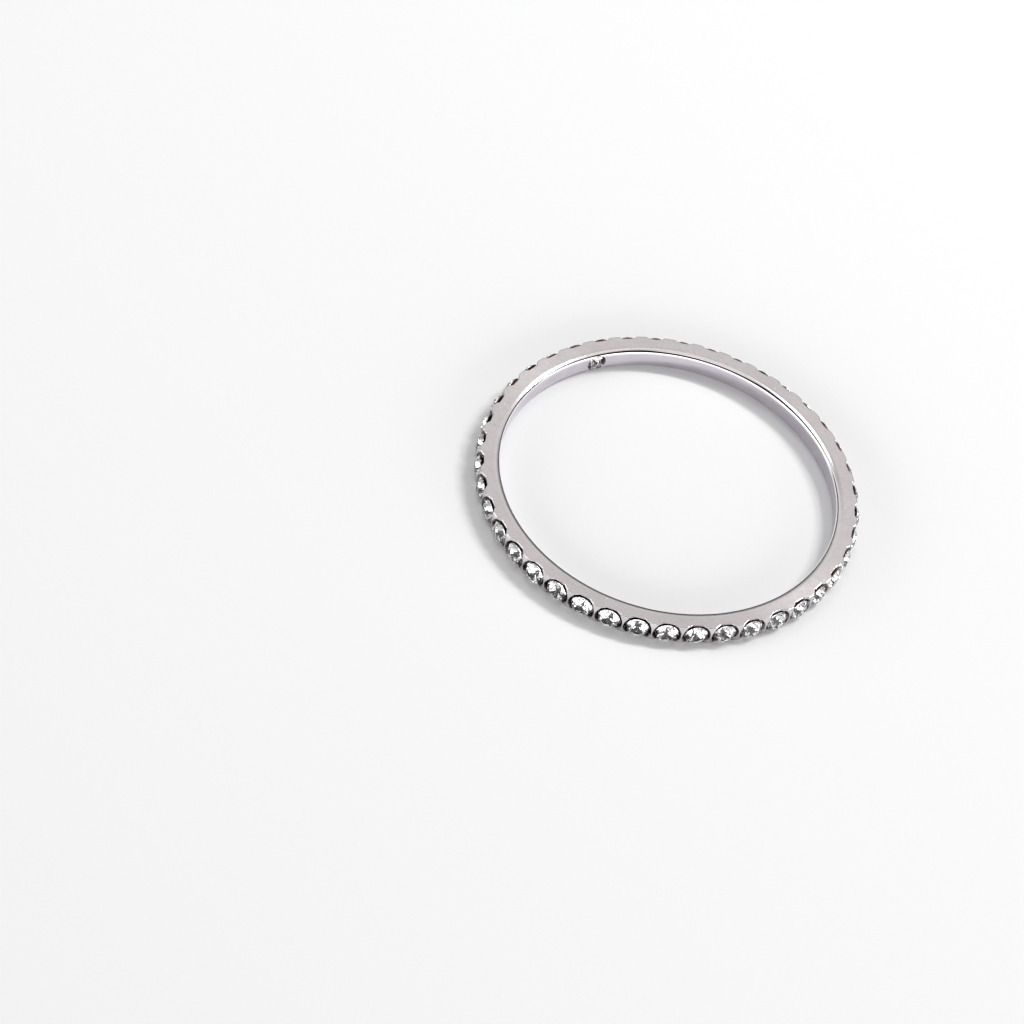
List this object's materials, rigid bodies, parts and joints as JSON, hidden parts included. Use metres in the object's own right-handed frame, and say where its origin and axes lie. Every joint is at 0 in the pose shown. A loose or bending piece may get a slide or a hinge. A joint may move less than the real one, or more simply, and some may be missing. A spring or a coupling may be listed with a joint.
{
  "type": "stackable ring",
  "caption": "Narrow silver-tone eternity ring with flat satin sides, a scalloped outside and round clear stones all the way round.",
  "frame": {"origin": "middle of the lower side face, on the ring's axis", "axes": "+Z along the ring's axis, +X through the middle of stone_01"},
  "size_m": [0.0198, 0.0198, 0.0012],
  "materials": {
    "silver_metal": "rhodium-like plating, satin side faces, polished inner wall and scallops",
    "crystal": "clear, with polished facets"
  },
  "bodies": {
    "root": {"band": "silver_metal", "inner_stone": "crystal", "stone_01": "crystal", "stone_02": "crystal", "stone_03": "crystal", "stone_04": "crystal", "stone_05": "crystal", "stone_06": "crystal", "stone_07": "crystal", "stone_08": "crystal", "stone_09": "crystal", "stone_10": "crystal", "stone_11": "crystal", "stone_12": "crystal", "stone_13": "crystal", "stone_14": "crystal", "stone_15": "crystal", "stone_16": "crystal", "stone_17": "crystal", "stone_18": "crystal", "stone_19": "crystal", "stone_20": "crystal", "stone_21": "crystal", "stone_22": "crystal", "stone_23": "crystal", "stone_24": "crystal", "stone_25": "crystal", "stone_26": "crystal", "stone_27": "crystal", "stone_28": "crystal", "stone_29": "crystal", "stone_30": "crystal", "stone_31": "crystal", "stone_32": "crystal", "stone_33": "crystal", "stone_34": "crystal", "stone_35": "crystal", "stone_36": "crystal", "stone_37": "crystal", "stone_38": "crystal", "stone_39": "crystal", "stone_40": "crystal", "stone_41": "crystal"}
  },
  "joints": []
}
